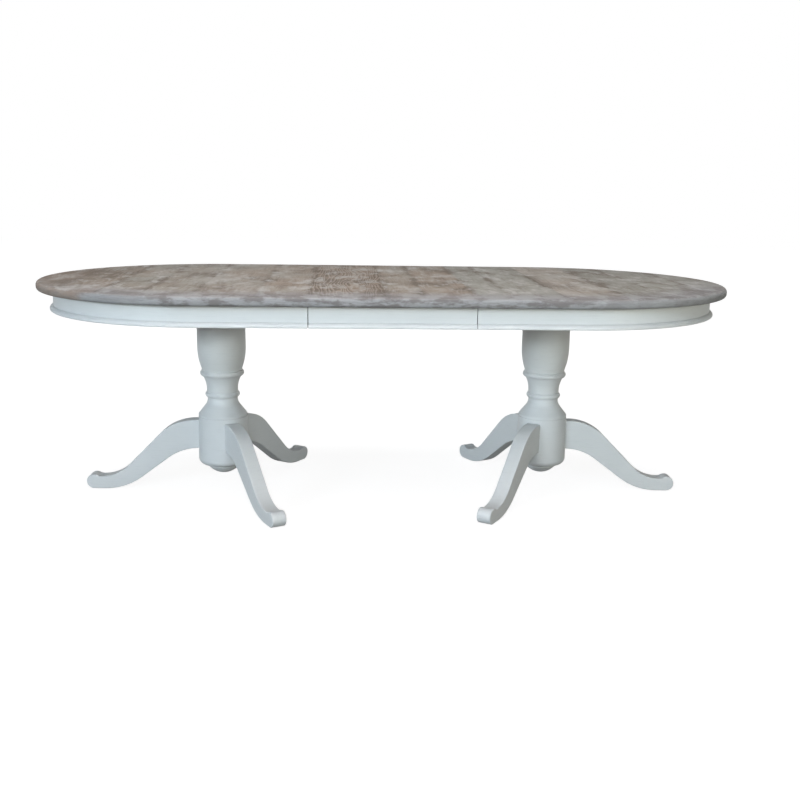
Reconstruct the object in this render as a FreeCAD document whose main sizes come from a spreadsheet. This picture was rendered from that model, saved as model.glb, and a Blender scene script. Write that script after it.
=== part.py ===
"""Extending oval dining table: two half-round ends on tripod pedestals, with a centre leaf between them.

Frame: the origin is on the floor under the middle of the leaf, +X runs along the table to the right-hand
end, +Y to the back and +Z up. Lengths are in millimetres and angles in degrees.
"""
import FreeCAD, Part
import math
import os
import re
import Sketcher
from FreeCAD import Placement, Rotation, Vector

os.makedirs("parts", exist_ok=True)
doc = FreeCAD.newDocument("extending_table")

SIZES = {
    # The top
    "table_height": 750,
    "table_width": 1150,
    "leaf_length": 500,
    "side_length": 331,          # straight side of each end, before the half circle
    "top_thickness": 28,
    "top_edge_radius": 12,
    "under_edge_radius": 10,
    "leaf_clearance": 0.3,       # between the leaf and each end
    # The apron
    "apron_inset": 50,           # from the edge of the top to the face of the apron
    "apron_height": 67,
    "apron_thickness": 20,
    "apron_gap": 2.4,            # open joint at each end of the leaf's apron
    "apron_gap_depth": 12,       # of that joint, behind the face
    "bead_projection": 11,
    "bead_height": 17,
    "bead_lip": 7,              # upright part of the bead
    "bead_shoulder_radius": 16,
    "bead_rounding": 4,
    # The runners, two to each end, that slide side by side
    "runner_height": 45,
    "runner_width": 28,
    "runner_offset": 200,        # from the middle of the table to the inner runner
    "runner_inset": 600,         # length under the runner's own end
    "runner_reach": 400,         # length out under the leaf
    "runner_play": 0.5,
    "dovetail_root": 10,
    "dovetail_tip": 16,
    "dovetail_depth": 9,
    "dovetail_play": 0.4,
    "pull_out": 60,              # extra travel that frees the leaf
    "stop_length": 40,
    "stop_thickness": 14,
    "stop_play": 0.5,
    # The bearers under the runners
    "bearer_thickness": 20,
    "bearer_width": 60,
    "inner_bearer_inset": 40,
    "outer_bearer_inset": 530,
    "bearer_play": 0.3,
    "block_size": 30,
    "block_length": 40,
    # The pedestal
    "pedestal_inset": 315,       # from the leaf joint to the axis of the column
    "plate_width": 360,
    "plate_thickness": 25,
    "plate_chamfer": 30,
    "base_bottom": 100,
    "base_radius": 87,
    "base_edge_depth": 15,
    "base_edge_height": 21,
    "drum_height": 170,
    "quirk_depth": 1.5,
    "quirk_height": 4,
    "shoulder_radius": 84.5,
    "shoulder_depth": 2.5,
    "shoulder_height": 7,
    "shoulder_rounding": 8,
    "flank_height": 26,
    "flare_radius": 61.5,
    "flare_height": 25,
    "stem_height": 6,
    "waist_radius": 53.5,
    "ring_projection": 5.8,
    "ring_ledge": 1.5,           # step under the ring
    "ring_height": 19,
    "waist_height": 8,
    "cove_height": 48,
    "neck_radius": 69,
    "collar_projection": 6.5,
    "collar_height": 20,
    "collar_ledge": 2.5,         # step under the collar
    "neck_height": 4,
    "vase_radius": 83,
    "vase_height": 78,
    "bore_radius": 45,
    "bore_room": 10,             # height of the bore above the legs
    # The cap that closes the base
    "cap_spigot_height": 12,
    "cap_play": 0.2,
    "cap_neck_radius": 49,
    "cap_neck_height": 5,
    "cap_radius": 55,
    "cap_edge_height": 4,
    "cap_depth": 36,
    # The legs
    "leg_width": 48.5,
    "leg_seat": 78,              # from the axis of the column to the flat that the leg sits on
    "leg_play": 0.2,
    "leg_drop": 14.5,            # from the top of the drum to the top of the leg
    "leg_height": 100.7,
    "upper_slope": 45.5,
    "lower_slope": 36.8,
    "upper_knee_radius": 173,
    "lower_knee_radius": 184,
    "upper_foot_radius": 134,
    "lower_foot_radius": 218,
    "heel_reach": 418,
    "toe_reach": 457,
    "toe_radius": 25.5,
    "instep_reach": 430,
    "instep_height": 47,
    "leg_edge_radius": 3,
    "glide_radius": 10,
    "glide_thickness": 3,
    "glide_pin_radius": 1.5,
    "glide_pin_length": 14,
    # The fasteners
    "thread_play": 0.05,
    "rod_radius": 6,
    "rod_play": 0.5,
    "rod_nut_radius": 10,
    "rod_nut_height": 11,
    "bolt_radius": 4,
    "bolt_bite": 55,
    "bolt_spacing": 45,
    "nut_radius": 7.5,
    "nut_height": 8,
    "flange_radius": 9,
    "flange_thickness": 2,
    "bolt_end": 3,               # thread that stands past each nut
    "screw_radius": 2.5,
    "screw_head_radius": 5,
    "screw_head_height": 3,
    "screw_bite": 16,            # depth of the screws in the top
    "plate_screw_circle": 150,
    "plate_screw_count": 8,
    "runner_screw_count": 3,
    # The leaf's battens and the latches that lock it
    "batten_width": 60,
    "batten_thickness": 22,
    "batten_inset": 100,         # from the end of the leaf to the middle of each batten
    "batten_play": 1,
    "latch_room": 160,           # from the inside of the apron to each latch pivot
    "latch_inset": 40,           # from the leaf joint to the pivot
    "latch_length": 75,
    "latch_end_radius": 9,
    "latch_thickness": 4,
    "latch_boss_radius": 7,
    "latch_boss_height": 2,
    "latch_pin_radius": 3,
    "latch_pin_play": 0.1,
    "keeper_thickness": 3,
    "keeper_length": 22,
    "keeper_foot": 18,
    "keeper_lip": 20,
    "keeper_play": 1,
}

sheet = doc.addObject("Spreadsheet::Sheet", "Sizes")
for row, (name, size) in enumerate(SIZES.items(), start=1):
    sheet.set(f"A{row}", name)
    sheet.set(f"B{row}", str(size))
    sheet.setAlias(f"B{row}", name)
doc.recompute()

SIDES = {"left": -1, "right": 1}
ACROSS = {"front": -1, "back": 1}
LEG_TURNS = [57.3, 177.3, 297.3]   # the pedestals stand turned by 2.7 degrees

UNDERSIDE = "(table_height - top_thickness)"
APRON_FACE = "(table_width / 2 - apron_inset)"
APRON_BOTTOM = f"({UNDERSIDE} - apron_height)"
RUNNER_BOTTOM = f"({UNDERSIDE} - runner_height)"
COLUMN_TOP = f"({UNDERSIDE} - plate_thickness)"
OUTER_RUNNER = "(runner_offset + runner_width + runner_play)"
LEG_TOP = "(base_bottom + drum_height - leg_drop)"
LEG_BOTTOM = f"({LEG_TOP} - leg_height)"
BORE_TOP = f"({LEG_TOP} + bore_room)"
LATCH_OFFSET = f"({APRON_FACE} - apron_thickness - latch_room)"
BATTEN_STATION = "(leaf_length / 2 - batten_inset)"


def value(expression):
    """Number that an expression of named sizes gives."""
    return float(sheet.evalExpression(expression))


def linked(expression):
    """The expression with each named size read from the sheet."""
    return re.sub(r"[a-z_]+", lambda word: f"Sizes.{word[0]}" if word[0] in SIZES else word[0], expression)


def bind(owner, target, expression):
    owner.setExpression(target, linked(expression))


# Frames of the pieces

def place(piece, side=None, inset="0", across="0", up="0", turn=0):
    """Puts a piece at a distance inside one end (or on the leaf's middle), turned about the vertical."""
    piece.Placement = Placement(Vector(), Rotation(Vector(0, 0, 1), turn))
    if side is None:
        bind(piece, "Placement.Base.x", inset)
        bind(piece, "Placement.Base.y", across)
    else:
        sign = SIDES[side]
        piece.Placement.Rotation = Rotation(Vector(0, 0, 1), turn + (180 if sign > 0 else 0))
        bind(piece, "Placement.Base.x", f"{sign} * (leaf_length / 2 + {inset})")
        bind(piece, "Placement.Base.y", f"{-sign} * ({across})")
    bind(piece, "Placement.Base.z", up)


def new_body(label, **where):
    body = doc.addObject("PartDesign::Body", label)
    body.Label = label
    place(body, **where)
    return body


def new_group(label, solids, **where):
    """One node that holds several separate solids."""
    group = doc.addObject("Part::Feature", label)
    group.Label = label
    group.Shape = Part.makeCompound(solids)
    place(group, **where)
    return group


# Sketches

def new_sketch(body, role, offset="0"):
    """Sketch on a plane of the body's own origin, moved along the plane's normal."""
    sketch = body.newObject("Sketcher::SketchObject", f"{body.Name}_sketch")
    plane = next(feature for feature in body.Origin.OriginFeatures if feature.Role == role)
    sketch.AttachmentSupport = (plane, "")
    sketch.MapMode = "FlatFace"
    bind(sketch, "AttachmentOffset.Base.z", offset)
    return sketch


def dimension(sketch, kind, *terms):
    """Adds a constraint whose last term is an expression, and binds it to the sheet."""
    *places, expression = terms
    amount = value(expression)
    if kind == "Angle":
        amount = math.radians(amount)
        expression = f"({expression}) * 1 deg"
    index = sketch.addConstraint(Sketcher.Constraint(kind, *places, amount))
    bind(sketch, f"Constraints[{index}]", expression)


def arc_between(start, end, radius):
    """Arc from start to end; it turns to the left for a positive radius, to the right for a negative one."""
    way = end - start
    left = Vector(-way.y, way.x, 0).normalize()
    rise = math.sqrt(max(radius * radius - way.Length * way.Length / 4, 0))
    centre = (start + end) * 0.5 + left * math.copysign(rise, radius)
    first, last = (start, end) if radius > 0 else (end, start)
    angles = [math.atan2(point.y - centre.y, point.x - centre.x) for point in (first, last)]
    return Part.ArcOfCircle(Part.Circle(centre, Vector(0, 0, 1), abs(radius)), *angles)


def draw_outline(sketch, corners):
    """Closed outline through corners (x, y), or (x, y, radius) where an arc leads on to the next corner."""
    points = [Vector(value(corner[0]), value(corner[1]), 0) for corner in corners]
    edges = []
    for index, corner in enumerate(corners):
        start = points[index]
        end = points[(index + 1) % len(points)]
        if len(corner) == 2:
            edges.append((sketch.addGeometry(Part.LineSegment(start, end)), 1, 2))
            continue
        radius = value(corner[2])
        ends = (1, 2) if radius > 0 else (2, 1)
        edge = sketch.addGeometry(arc_between(start, end, radius))
        edges.append((edge, *ends))
        dimension(sketch, "Radius", edge, f"abs({corner[2]})")
    for index, (edge, start, end) in enumerate(edges):
        before, _, before_end = edges[index - 1]
        sketch.addConstraint(Sketcher.Constraint("Coincident", before, before_end, edge, start))
        dimension(sketch, "DistanceX", edge, start, corners[index][0])
        dimension(sketch, "DistanceY", edge, start, corners[index][1])


def draw_circles(sketch, radius, centres):
    for across, up in centres:
        circle = Part.Circle(Vector(value(across), value(up), 0), Vector(0, 0, 1), value(radius))
        edge = sketch.addGeometry(circle)
        dimension(sketch, "Radius", edge, radius)
        dimension(sketch, "DistanceX", edge, 3, across)
        dimension(sketch, "DistanceY", edge, 3, up)


def rectangle(low_x, low_y, high_x, high_y):
    return [(low_x, low_y), (high_x, low_y), (high_x, high_y), (low_x, high_y)]


# Features

def pad(body, sketch, length, reversed_way=False):
    feature = body.newObject("PartDesign::Pad", f"{body.Name}_pad")
    feature.Profile = sketch
    feature.Reversed = reversed_way
    bind(feature, "Length", length)
    doc.recompute()
    return feature


def pocket(body, sketch, length, reversed_way=False):
    """Cuts the sketch into the body, and fails if nothing was cut."""
    before = body.Shape.Volume
    feature = body.newObject("PartDesign::Pocket", f"{body.Name}_pocket")
    feature.Profile = sketch
    feature.Reversed = reversed_way
    bind(feature, "Length", length)
    doc.recompute()
    if body.Shape.Volume > before - 1e-6:
        raise RuntimeError(f"{feature.Name} cuts nothing")
    return feature


def drill(body, role, offset, radius, centres, depth, reversed_way=False):
    """Round holes of one size, from a plane of the body."""
    sketch = new_sketch(body, role, offset)
    draw_circles(sketch, radius, centres)
    return pocket(body, sketch, depth, reversed_way)


def revolve(body, sketch):
    feature = body.newObject("PartDesign::Revolution", f"{body.Name}_revolution")
    feature.Profile = sketch
    feature.ReferenceAxis = (sketch, ["V_Axis"])
    feature.Angle = 360
    doc.recompute()
    return feature


def polar_pattern(body, features, count):
    before = body.Shape.Volume
    pattern = body.newObject("PartDesign::PolarPattern", f"{body.Name}_pattern")
    pattern.Originals = features
    pattern.Axis = (next(axis for axis in body.Origin.OriginFeatures if axis.Role == "Z_Axis"), [""])
    pattern.Angle = 360
    pattern.Occurrences = count
    body.Tip = pattern
    doc.recompute()
    if abs(body.Shape.Volume - before) < 1e-6:
        raise RuntimeError(f"{pattern.Name} repeats nothing")
    return pattern


def dress_edges(body, kind, target, size, wanted):
    """Fillet or chamfer along every edge of the body that the test picks."""
    base = body.Tip
    edges = [f"Edge{index}" for index, edge in enumerate(base.Shape.Edges, start=1) if wanted(edge)]
    feature = body.newObject(f"PartDesign::{kind}", f"{body.Name}_{kind.lower()}")
    feature.Base = (base, edges)
    bind(feature, target, size)
    doc.recompute()
    return feature


def round_edges(body, radius, wanted):
    return dress_edges(body, "Fillet", "Radius", radius, wanted)


def at_height(edge, height):
    return all(abs(vertex.Z - height) < 1e-4 for vertex in edge.Vertexes)


# The top

def plate_screw_places():
    angles = [f"{360 / SIZES['plate_screw_count'] * (number + 0.5)}"
              for number in range(SIZES["plate_screw_count"])]
    return [(f"plate_screw_circle * cos({angle})", f"plate_screw_circle * sin({angle})") for angle in angles]


def runner_screw_places():
    """Screws of both runners, measured from the leaf joint: spread between the two bearers."""
    count = SIZES["runner_screw_count"]
    first = "(inner_bearer_inset + bearer_width)"
    shares = [(number + 0.5) / count for number in range(count)]
    along = [f"-({first} + (outer_bearer_inset - {first}) * {share})" for share in shares]
    rows = [f"-({OUTER_RUNNER} + runner_width / 2)", "runner_offset + runner_width / 2"]
    return [(station, row) for row in rows for station in along]


def latch_places():
    return [("-latch_inset", f"-{LATCH_OFFSET}"), ("-latch_inset", LATCH_OFFSET)]


def end_top(side):
    body = new_body(f"{side}_top", side=side)
    half = "table_width / 2"
    sketch = new_sketch(body, "XY_Plane", UNDERSIDE)
    draw_outline(sketch, [
        ("0", half),
        ("-side_length", half, half),
        (f"-(side_length + {half})", "0", half),
        ("-side_length", f"-{half}"),
        ("0", f"-{half}"),
    ])
    pad(body, sketch, "top_thickness")
    screws = [(f"{along} - pedestal_inset", across) for along, across in plate_screw_places()]
    screws += runner_screw_places()
    drill(body, "XY_Plane", UNDERSIDE, "screw_radius + thread_play", screws, "screw_bite", True)
    drill(body, "XY_Plane", UNDERSIDE, "latch_pin_radius + thread_play", latch_places(), "screw_bite", True)
    outer = value("1 - side_length - table_width / 2")

    def outside(edge):
        """True for an edge of the oval, and not for the leaf joint or a hole."""
        middle = edge.CenterOfMass
        on_side = abs(abs(middle.y) - value(half)) < 1 and middle.x < -1
        on_arc = edge.Curve.TypeId == "Part::GeomCircle" and edge.Curve.Radius > value("table_width / 4")
        return on_side or (on_arc and middle.x > outer)

    height = value("table_height")
    round_edges(body, "top_edge_radius", lambda edge: outside(edge) and at_height(edge, height))
    low = value(UNDERSIDE)
    round_edges(body, "under_edge_radius", lambda edge: outside(edge) and at_height(edge, low))
    return body


def leaf_top():
    body = new_body("leaf_top")
    half = "table_width / 2"
    end = "(leaf_length / 2 - leaf_clearance)"
    sketch = new_sketch(body, "XY_Plane", UNDERSIDE)
    draw_outline(sketch, rectangle(f"-{end}", f"-{half}", end, half))
    pad(body, sketch, "top_thickness")
    screws = batten_screw_places() + keeper_screw_places()
    drill(body, "XY_Plane", UNDERSIDE, "screw_radius + thread_play", screws, "screw_bite", True)

    def front_or_back(edge):
        return all(abs(abs(vertex.Y) - value(half)) < 1e-4 for vertex in edge.Vertexes)

    height = value("table_height")
    round_edges(body, "top_edge_radius", lambda edge: front_or_back(edge) and at_height(edge, height))
    low = value(UNDERSIDE)
    round_edges(body, "under_edge_radius", lambda edge: front_or_back(edge) and at_height(edge, low))
    return body


# The apron

def apron_section(sketch):
    """Section of the apron at the front: a flat face over a bead with a rounded shoulder."""
    bead = f"({APRON_FACE} + bead_projection)"
    draw_outline(sketch, [
        (f"-{APRON_FACE}", UNDERSIDE),
        (f"-{APRON_FACE}", f"{APRON_BOTTOM} + bead_height", "bead_shoulder_radius"),
        (f"-{bead}", f"{APRON_BOTTOM} + bead_lip"),
        (f"-{bead}", f"{APRON_BOTTOM} + bead_rounding", "bead_rounding"),
        (f"-({bead} - bead_rounding)", APRON_BOTTOM),
        (f"-({APRON_FACE} - apron_thickness)", APRON_BOTTOM),
        (f"-({APRON_FACE} - apron_thickness)", UNDERSIDE),
    ])


def end_apron(side):
    body = new_body(f"{side}_apron", side=side)
    spine = new_sketch(body, "XY_Plane", UNDERSIDE)
    half = value(APRON_FACE)
    straight = value("side_length")
    corners = [Vector(0, -half, 0), Vector(-straight, -half, 0), Vector(-straight - half, 0, 0),
               Vector(-straight, half, 0), Vector(0, half, 0)]
    front = spine.addGeometry(Part.LineSegment(corners[0], corners[1]))
    front_arc = spine.addGeometry(arc_between(corners[1], corners[2], -half))
    back_arc = spine.addGeometry(arc_between(corners[2], corners[3], -half))
    back = spine.addGeometry(Part.LineSegment(corners[3], corners[4]))
    joins = [(front, 2, front_arc, 2), (front_arc, 1, back_arc, 2), (back_arc, 1, back, 1)]
    for join in joins:
        spine.addConstraint(Sketcher.Constraint("Tangent", *join))
    for edge in (front_arc, back_arc):
        dimension(spine, "Radius", edge, APRON_FACE)
    dimension(spine, "DistanceX", front, 1, "0")
    dimension(spine, "DistanceY", front, 1, f"-{APRON_FACE}")
    dimension(spine, "DistanceX", front, 2, "-side_length")
    spine.addConstraint(Sketcher.Constraint("Horizontal", front))
    dimension(spine, "DistanceY", back_arc, 2, "0")
    dimension(spine, "DistanceX", back, 2, "0")
    section = new_sketch(body, "YZ_Plane")
    apron_section(section)
    doc.recompute()
    pipe = body.newObject("PartDesign::AdditivePipe", f"{body.Name}_pipe")
    pipe.Profile = section
    pipe.Spine = (spine, [])
    doc.recompute()
    return body


def leaf_apron(label, turn):
    """Straight apron, rebated at each end so that the joint shows as a dark line."""
    body = new_body(label, turn=turn)
    half_length = "(leaf_length / 2 - leaf_clearance)"
    section = new_sketch(body, "YZ_Plane", f"-{half_length}")
    apron_section(section)
    pad(body, section, f"2 * {half_length}")
    rebates = new_sketch(body, "XY_Plane", UNDERSIDE)
    front = f"-({APRON_FACE} + 2 * bead_projection)"
    back = f"-({APRON_FACE} - apron_gap_depth)"
    shoulder = "(leaf_length / 2 - apron_gap)"
    draw_outline(rebates, rectangle(shoulder, front, f"{half_length} + apron_gap", back))
    draw_outline(rebates, rectangle(f"-({half_length} + apron_gap)", front, f"-{shoulder}", back))
    pocket(body, rebates, "apron_height")
    return body


def glue_block(low_x, low_y, high_x, high_y):
    """Block in the corner under the top, between two opposite corners seen from above."""
    height = value("block_size")
    corner = Vector(low_x, low_y, value(UNDERSIDE) - height)
    return Part.makeBox(high_x - low_x, high_y - low_y, height, corner)


def end_glue_blocks(side):
    """Two blocks along each straight side and three round the bend."""
    inside = value(f"{APRON_FACE} - apron_thickness")
    length = value("block_length")
    depth = value("block_size")
    solids = []
    for station in (-value("side_length") * 0.45, -value("side_length") * 0.85):
        for low_y in (-inside, inside - depth):
            solids.append(glue_block(station - length / 2, low_y, station + length / 2, low_y + depth))
    centre = Vector(-value("side_length"), 0, 0)
    face = math.sqrt(inside * inside - length * length / 4) - value("bearer_play")
    for turn in (-60, 0, 60):
        block = glue_block(centre.x - face, -length / 2, centre.x - face + depth, length / 2)
        block.rotate(centre, Vector(0, 0, 1), turn)
        solids.append(block)
    return new_group(f"{side}_glue_blocks", solids, side=side)


def leaf_glue_blocks():
    inside = value(f"{APRON_FACE} - apron_thickness")
    length = value("block_length")
    depth = value("block_size")
    solids = []
    for station in (-value("leaf_length") / 5, value("leaf_length") / 5):
        for low_y in (-inside, inside - depth):
            solids.append(glue_block(station - length / 2, low_y, station + length / 2, low_y + depth))
    return new_group("leaf_glue_blocks", solids)


# Runners and bearers

def runner_section(kind):
    """Outline of a runner: the outer one is grooved, the inner one carries the dovetail tongue."""
    middle = f"({UNDERSIDE} - runner_height / 2)"
    if kind == "outer":
        near = f"-{OUTER_RUNNER}"
        far = f"-({OUTER_RUNNER} + runner_width)"
        depth = "(dovetail_depth - runner_play + dovetail_play)"
        root = "(dovetail_root / 2 + dovetail_play)"
        tip = "(dovetail_tip / 2 + dovetail_play)"
        inward = f"{near} - {depth}"
    else:
        near = "runner_offset + runner_width"
        far = "runner_offset"
        root = "dovetail_root / 2"
        tip = "dovetail_tip / 2"
        inward = f"{near} + dovetail_depth"
    return [
        (far, RUNNER_BOTTOM),
        (near, RUNNER_BOTTOM),
        (near, f"{middle} - {root}"),
        (inward, f"{middle} - {tip}"),
        (inward, f"{middle} + {tip}"),
        (near, f"{middle} + {root}"),
        (near, UNDERSIDE),
        (far, UNDERSIDE),
    ]


def runner(side, kind):
    body = new_body(f"{side}_{kind}_runner", side=side)
    section = new_sketch(body, "YZ_Plane", "-runner_inset")
    draw_outline(section, runner_section(kind))
    pad(body, section, "runner_inset + runner_reach")
    row = runner_screw_places()[0 if kind == "outer" else -1][1]
    centres = [(along, across) for along, across in runner_screw_places() if across == row]
    drill(body, "XY_Plane", UNDERSIDE, "screw_radius + thread_play", centres, "runner_height")
    return body


def runner_stops(side):
    """A block under each runner that reaches below its neighbour and meets that one's block."""
    length = value("stop_length")
    start = value("leaf_length / 2 + pull_out / 2 + stop_play / 2")
    low = value(f"{RUNNER_BOTTOM} - stop_thickness")
    thickness = value("stop_thickness")
    width = value("runner_width")
    solids = []
    inner = value("runner_offset")
    outer = value(OUTER_RUNNER)
    for own, neighbour in ((-outer - width, -inner - width), (inner, outer)):
        seat = Part.makeBox(length, width, thickness, Vector(start, own, low))
        first = min(own, neighbour)
        span = abs(own - neighbour) + width
        arm = Part.makeBox(length, span, thickness - value("stop_play"), Vector(start, first, low))
        solids.append(seat.fuse(arm).removeSplitter())
    return new_group(f"{side}_runner_stops", solids, side=side)


def inner_bearer(side):
    body = new_body(f"{side}_inner_bearer", side=side)
    half = f"({APRON_FACE} - apron_thickness)"
    far = "-(inner_bearer_inset + bearer_width)"
    sketch = new_sketch(body, "XY_Plane", f"{RUNNER_BOTTOM} - bearer_thickness")
    draw_outline(sketch, rectangle(far, f"-{half}", "-inner_bearer_inset", half))
    pad(body, sketch, "bearer_thickness")
    return body


def outer_bearer(side):
    """Bearer beyond the pedestal, with its ends scribed to the bend of the apron."""
    body = new_body(f"{side}_outer_bearer", side=side)
    radius = f"({APRON_FACE} - apron_thickness - bearer_play)"
    near = "outer_bearer_inset"
    far = "(outer_bearer_inset + bearer_width)"
    near_half = f"sqrt({radius} ^ 2 - ({near} - side_length) ^ 2)"
    far_half = f"sqrt({radius} ^ 2 - ({far} - side_length) ^ 2)"
    sketch = new_sketch(body, "XY_Plane", f"{RUNNER_BOTTOM} - bearer_thickness")
    draw_outline(sketch, [
        (f"-{near}", near_half, radius),
        (f"-{far}", far_half),
        (f"-{far}", f"-{far_half}", radius),
        (f"-{near}", f"-{near_half}"),
    ])
    pad(body, sketch, "bearer_thickness")
    return body


# The pedestal

def top_plate(side):
    """Square plate between the runners that joins the column to the top."""
    body = new_body(f"{side}_top_plate", side=side, inset="pedestal_inset")
    half = "plate_width / 2"
    sketch = new_sketch(body, "XY_Plane", COLUMN_TOP)
    draw_outline(sketch, rectangle(f"-{half}", f"-{half}", half, half))
    pad(body, sketch, "plate_thickness")
    dress_edges(body, "Chamfer", "Size", "plate_chamfer",
                lambda edge: abs(edge.Vertexes[0].Z - edge.Vertexes[-1].Z) > 1)
    drill(body, "XY_Plane", COLUMN_TOP, "screw_radius + thread_play", plate_screw_places(),
          "plate_thickness", True)
    drill(body, "XY_Plane", COLUMN_TOP, "rod_radius + rod_play", [("0", "0")], "plate_thickness", True)
    drill(body, "XY_Plane", UNDERSIDE, "rod_nut_radius + flange_thickness + rod_play", [("0", "0")],
          "rod_nut_height + rod_play")
    return body


def ring_radius(height, projection):
    """Radius of a turned ring, from its height and how far it stands out."""
    return f"(({height} ^ 2 / 4 + {projection} ^ 2) / (2 * {projection}))"


def tangent_radius(depth, height):
    """Radius of a curve that leaves the upright and moves by a depth over a height."""
    return f"(({depth} ^ 2 + {height} ^ 2) / (2 * {depth}))"


def column(side):
    """Turned column: a tall vase, two rings about a waist, and a drum that takes the three legs."""
    body = new_body(f"{side}_column", side=side, inset="pedestal_inset", turn=LEG_TURNS[0])
    vase = tangent_radius("(vase_radius - neck_radius)", "vase_height")
    cove = tangent_radius("(neck_radius - collar_ledge - waist_radius)", "cove_height")
    flare = tangent_radius("(flare_radius - waist_radius + ring_ledge)", "flare_height")
    edge = tangent_radius("base_edge_depth", "base_edge_height")
    collar = ring_radius("collar_height", "collar_projection")
    ring = ring_radius("ring_height", "ring_projection")
    levels = ["base_bottom"]
    for step in ("drum", "quirk", "shoulder", "flank", "flare", "stem", "ring", "waist", "cove", "collar",
                 "neck", "vase"):
        levels.append(f"{levels[-1]} + {step}_height")
    (bottom, drum_top, quirk_top, shoulder_top, flank_top, flare_top, ring_low, ring_top, waist_top,
     collar_low, collar_top, neck_top, vase_top) = levels
    profile = new_sketch(body, "XZ_Plane")
    draw_outline(profile, [
        ("rod_radius + rod_play", COLUMN_TOP),
        ("rod_radius + rod_play", BORE_TOP),
        ("bore_radius", BORE_TOP),
        ("bore_radius", bottom),
        ("base_radius - base_edge_depth", bottom, edge),
        ("base_radius", f"{bottom} + base_edge_height"),
        ("shoulder_radius", drum_top),
        ("shoulder_radius - quirk_depth", drum_top),
        ("shoulder_radius - quirk_depth", quirk_top),
        ("shoulder_radius", quirk_top, "shoulder_rounding"),
        ("shoulder_radius - shoulder_depth", shoulder_top),
        ("flare_radius", flank_top, f"-{flare}"),
        ("waist_radius - ring_ledge", flare_top),
        ("waist_radius - ring_ledge", ring_low),
        ("waist_radius", ring_low, ring),
        ("waist_radius", ring_top),
        ("waist_radius", waist_top, f"-{cove}"),
        ("neck_radius - collar_ledge", collar_low),
        ("neck_radius", collar_low, collar),
        ("neck_radius", collar_top),
        ("neck_radius", neck_top, vase),
        ("vase_radius", vase_top),
        ("vase_radius", COLUMN_TOP),
    ])
    revolve(body, profile)
    seat = new_sketch(body, "YZ_Plane", "leg_seat")
    half = "(leg_width / 2 + leg_play)"
    draw_outline(seat, rectangle(f"-{half}", f"{LEG_BOTTOM} - leg_play", half, f"{LEG_TOP} + leg_play"))
    housing = pocket(body, seat, "base_radius - leg_seat + 1", True)
    bolts = drill(body, "YZ_Plane", "leg_seat", "bolt_radius + thread_play",
                  [("0", height) for height in bolt_heights()], "leg_seat - bore_radius / 2")
    polar_pattern(body, [housing, bolts], len(LEG_TURNS))
    return body


def base_cap(side):
    """Turned cap under the drum, held by its spigot in the bore."""
    body = new_body(f"{side}_base_cap", side=side, inset="pedestal_inset")
    spigot = "bore_radius - cap_play"
    edge_top = "base_bottom - cap_neck_height"
    edge_bottom = "base_bottom - cap_neck_height - cap_edge_height"
    bottom = "(base_bottom - cap_depth)"
    dome = tangent_radius(f"({edge_bottom} - {bottom})", "cap_radius")
    profile = new_sketch(body, "XZ_Plane")
    draw_outline(profile, [
        ("0", bottom, dome),
        ("cap_radius", edge_bottom),
        ("cap_radius", edge_top),
        ("cap_neck_radius", edge_top),
        ("cap_neck_radius", "base_bottom"),
        (spigot, "base_bottom"),
        (spigot, "base_bottom + cap_spigot_height"),
        ("0", "base_bottom + cap_spigot_height"),
    ])
    revolve(body, profile)
    return body


def bolt_heights():
    middle = f"({LEG_TOP} + {LEG_BOTTOM}) / 2"
    return [f"{middle} - bolt_spacing / 2", f"{middle} + bolt_spacing / 2"]


def s_curve(end, top, bottom, knee, foot, slope):
    """Knee arc, straight and foot arc between two levels: their tangent points and the arcs' centres."""
    sine, cosine = math.sin(math.radians(slope)), math.cos(math.radians(slope))
    straight = (top - bottom - (knee + foot) * (1 - cosine)) / sine
    low = Vector(end - foot * sine, bottom + foot * (1 - cosine), 0)
    high = low + Vector(-straight * cosine, straight * sine, 0)
    start = Vector(high.x - knee * sine, top, 0)
    return start, high, low, Vector(end, bottom, 0)


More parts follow.
